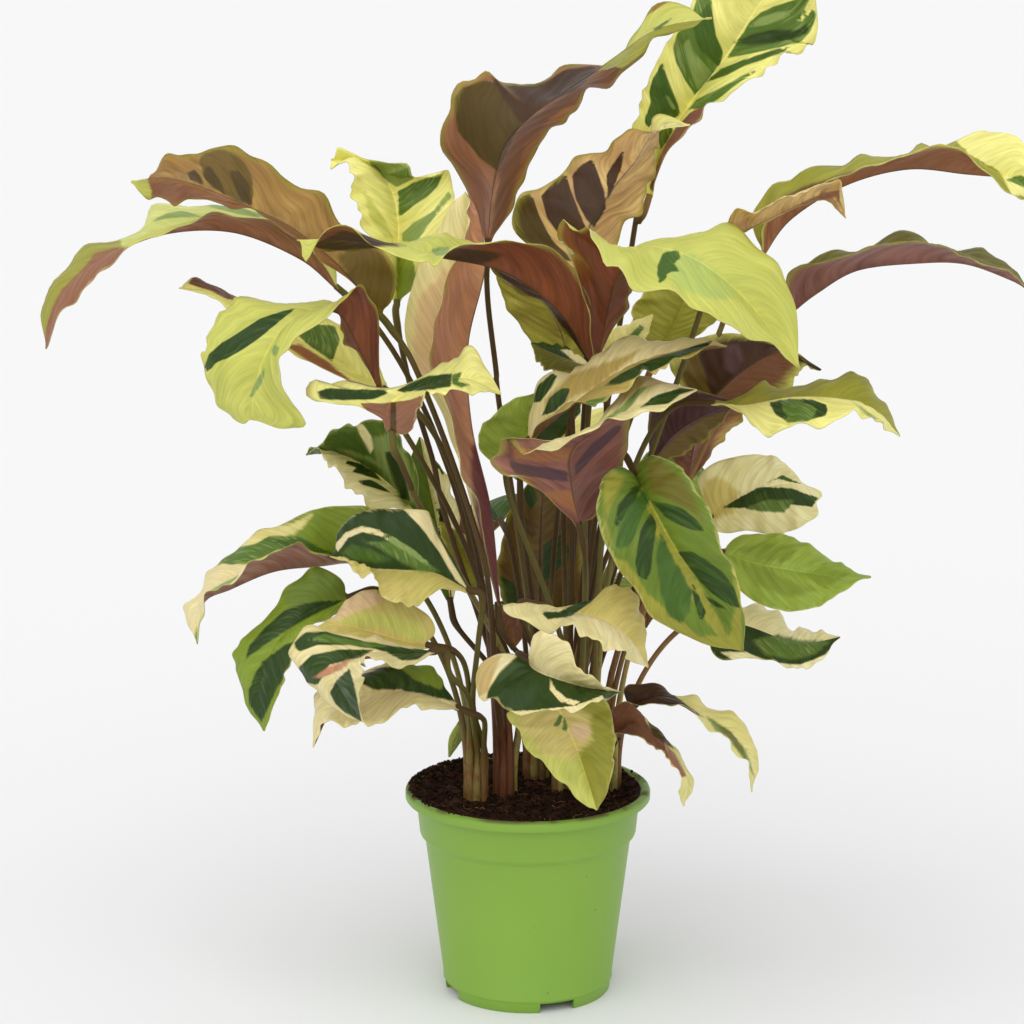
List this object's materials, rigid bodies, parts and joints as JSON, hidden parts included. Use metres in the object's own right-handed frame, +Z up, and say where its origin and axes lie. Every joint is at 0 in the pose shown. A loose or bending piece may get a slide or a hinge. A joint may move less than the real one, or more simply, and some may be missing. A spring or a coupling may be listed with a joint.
{
  "type": "potted plant",
  "caption": "Bushy variegated prayer plant: arching cream, lime and dark green leaves with purple undersides on thin stalks in a tapered green nursery pot.",
  "frame": {"origin": "centre of the pot's foot on the surface that it stands on, within a few millimetres of the middle of the object's underside", "axes": "+Z up along the pot axis; -Y toward the viewer of the picture, who sees the widest side; +X to the right of that view"},
  "size_m": [0.6518, 0.3669, 0.7144],
  "materials": {
    "leaf_lime": "soft sheen leaf, lime green with darker blotches",
    "leaf_yellow": "soft sheen leaf, yellow with green blotches",
    "leaf_cream": "soft sheen leaf, cream with dark green blotches",
    "leaf_mid_green": "soft sheen leaf, mid green with lime edges",
    "leaf_dark_green": "soft sheen leaf, dark green with cream streaks",
    "leaf_purple_brown": "satin underside of a leaf, purple brown",
    "leaf_gold_brown": "satin underside of a leaf, gold brown",
    "leaf_mauve": "satin underside of a leaf, mauve",
    "leaf_tan": "satin underside of a leaf, tan with darker bands",
    "stalk_brown": "satin stalks, brown to olive",
    "stalk_tan": "satin stalks, tan to pale green",
    "soil_dark": "rough crumbly soil with fibres",
    "pot_green": "semi-gloss moulded plastic, apple green"
  },
  "bodies": {
    "root": {"shoot_left": "stalk_brown", "shoot_left_front": "stalk_tan", "shoot_front": "stalk_brown", "shoot_centre": "stalk_brown", "shoot_right_front": "stalk_brown", "shoot_right": "stalk_tan", "shoot_back": "stalk_brown", "leaf_far_left_arch": "leaf_mauve", "leaf_upper_left_brown": "leaf_gold_brown", "leaf_left_lime_droop": "leaf_lime", "leaf_left_yellow": "leaf_yellow", "leaf_upper_yellow": "leaf_yellow", "leaf_left_back_dark": "leaf_dark_green", "leaf_left_yellow_edge": "leaf_yellow", "leaf_left_mid_dark": "leaf_dark_green", "leaf_left_arch": "leaf_mauve", "leaf_left_hanging_green": "leaf_mid_green", "leaf_front_left_striped": "leaf_cream", "leaf_front_left_pale": "leaf_cream", "leaf_lower_left_cream": "leaf_cream", "leaf_small_at_soil": "leaf_lime", "leaf_rolled_cream": "leaf_cream", "leaf_lower_centre_cream": "leaf_cream", "leaf_lower_dark_fold": "leaf_dark_green", "leaf_front_bottom_pale": "leaf_lime", "leaf_long_purple": "leaf_purple_brown", "leaf_top_centre_brown": "leaf_purple_brown", "leaf_olive_under": "leaf_lime", "leaf_inner_diamonds": "leaf_tan", "leaf_back_left_dark": "leaf_dark_green", "leaf_small_olive": "leaf_gold_brown", "leaf_centre_mid_green": "leaf_mid_green", "leaf_centre_small_dark": "leaf_dark_green", "leaf_centre_small_cream": "leaf_cream", "leaf_large_lime": "leaf_lime", "leaf_centre_cream_striped": "leaf_cream", "leaf_centre_purple_fold": "leaf_mauve", "leaf_front_right_green": "leaf_mid_green", "leaf_right_yellow": "leaf_yellow", "leaf_right_droop_long": "leaf_purple_brown", "leaf_right_droop_short": "leaf_purple_brown", "leaf_right_lime_green": "leaf_lime", "leaf_right_cream_dark": "leaf_cream", "leaf_tan_banded": "leaf_tan", "leaf_top_right_variegated": "leaf_yellow", "leaf_right_arch_upper": "leaf_gold_brown", "leaf_right_small_over": "leaf_gold_brown", "leaf_right_arch_lower": "leaf_mauve", "leaf_lime_behind": "leaf_lime", "leaf_dark_brown_upper": "leaf_purple_brown", "leaf_dark_brown_lower": "leaf_purple_brown", "leaf_dark_brown_inner": "leaf_purple_brown", "leaf_right_cream_green": "leaf_cream", "leaf_back_high": "leaf_lime", "leaf_back_right": "leaf_mid_green", "leaf_back_left": "leaf_dark_green", "leaf_back_low_right": "leaf_lime", "leaf_back_low_left": "leaf_cream", "soil": "soil_dark", "pot": "pot_green"}
  },
  "joints": []
}
